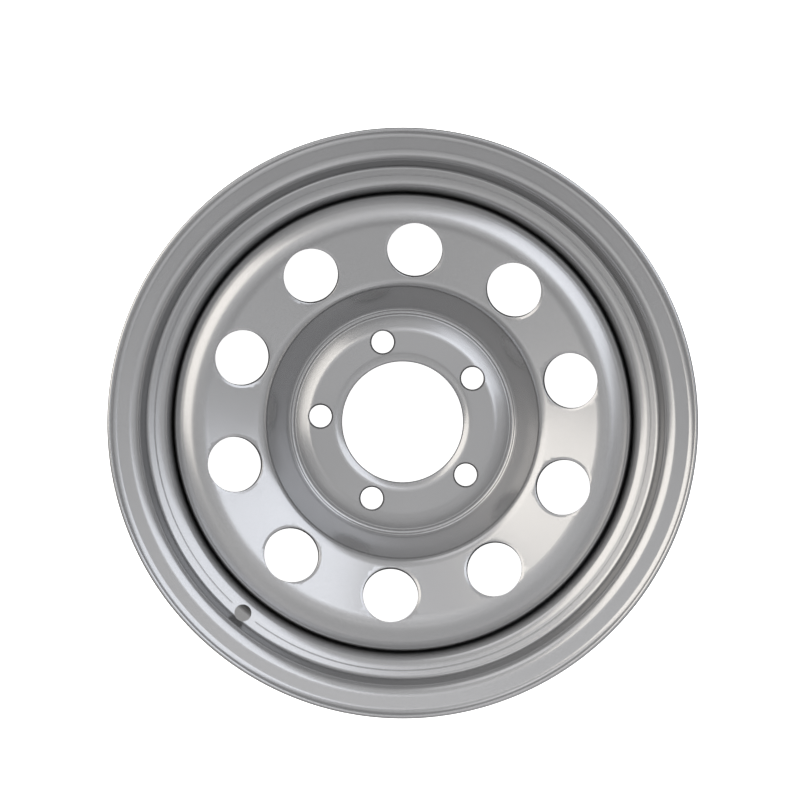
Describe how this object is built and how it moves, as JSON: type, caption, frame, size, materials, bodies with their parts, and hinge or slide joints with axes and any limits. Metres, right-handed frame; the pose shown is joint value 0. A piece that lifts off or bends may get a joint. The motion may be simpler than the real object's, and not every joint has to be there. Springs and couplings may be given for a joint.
{
  "type": "steel wheel rim",
  "caption": "Pressed-steel trailer wheel: rolled drop-centre rim with J flanges, welded to a dished disc with round vents, a raised lug ring and a plain centre bore.",
  "frame": {"origin": "on the wheel's axis, in the plane that seats on the hub, which is also the rim's mid-plane", "axes": "+Z along the wheel's axis out of its outer face; the wheel lies on its back flange"},
  "size_m": [0.3908, 0.3906, 0.1556],
  "materials": {
    "silver_paint": "satin metallic silver",
    "painted_weld": "satin metallic silver over a rippled bead"
  },
  "bodies": {
    "root": {"rim_barrel": "silver_paint", "wheel_disc": "silver_paint", "weld_beads": "painted_weld"}
  },
  "joints": []
}
